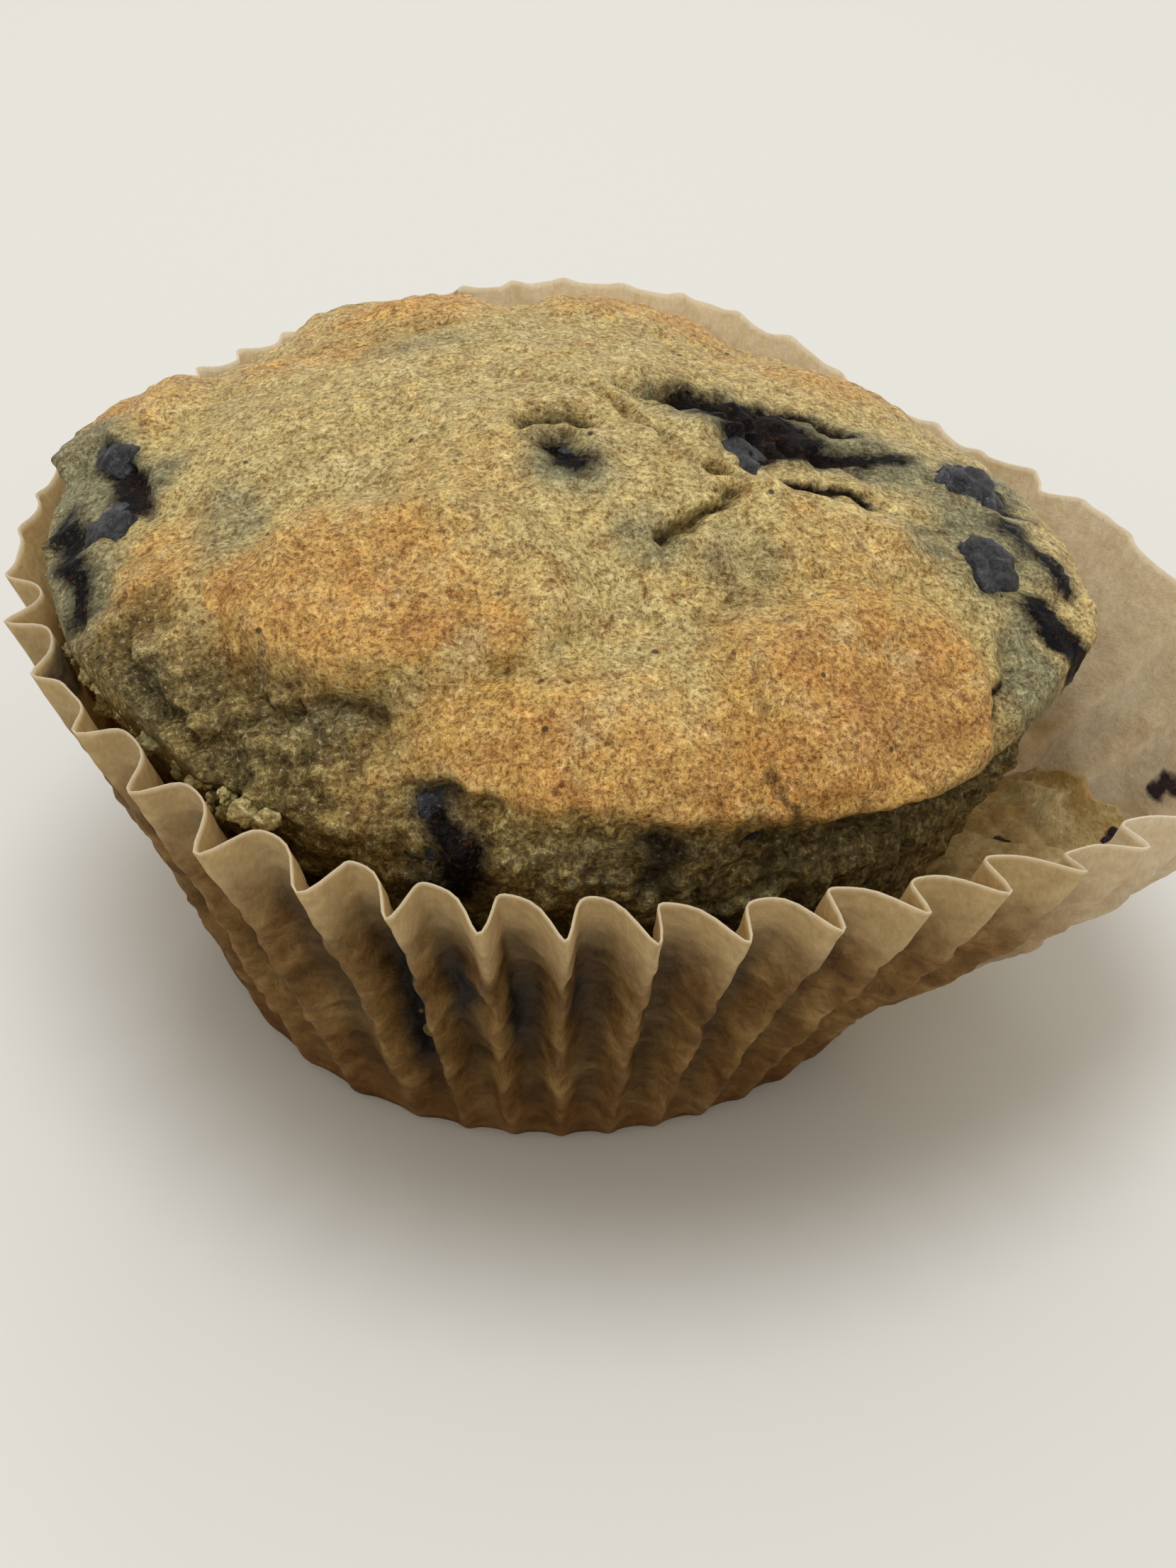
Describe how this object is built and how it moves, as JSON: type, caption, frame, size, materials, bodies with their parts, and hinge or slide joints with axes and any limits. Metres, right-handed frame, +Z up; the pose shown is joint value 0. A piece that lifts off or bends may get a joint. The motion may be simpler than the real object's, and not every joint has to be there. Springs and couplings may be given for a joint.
{
  "type": "muffin",
  "caption": "Domed blueberry muffin in a fluted paper case that has been peeled open on one side.",
  "frame": {"origin": "centre of the paper case's flat foot, on the surface it stands on", "axes": "+Z up, -Y towards the front, +X towards the side where the case is peeled open"},
  "size_m": [0.0823, 0.0758, 0.0435],
  "materials": {
    "cake": "baked crust",
    "paper": "greaseproof paper",
    "berry": "baked berry skin"
  },
  "bodies": {
    "root": {"cake": "cake", "paper_case": "paper", "berry_split": "berry", "berry_burst": "berry", "berry_right_top": "berry", "berry_right_low": "berry", "berry_right_back": "berry", "berry_left_top": "berry", "berry_left_low": "berry", "berry_front": "berry", "berry_front_side": "berry"}
  },
  "joints": []
}
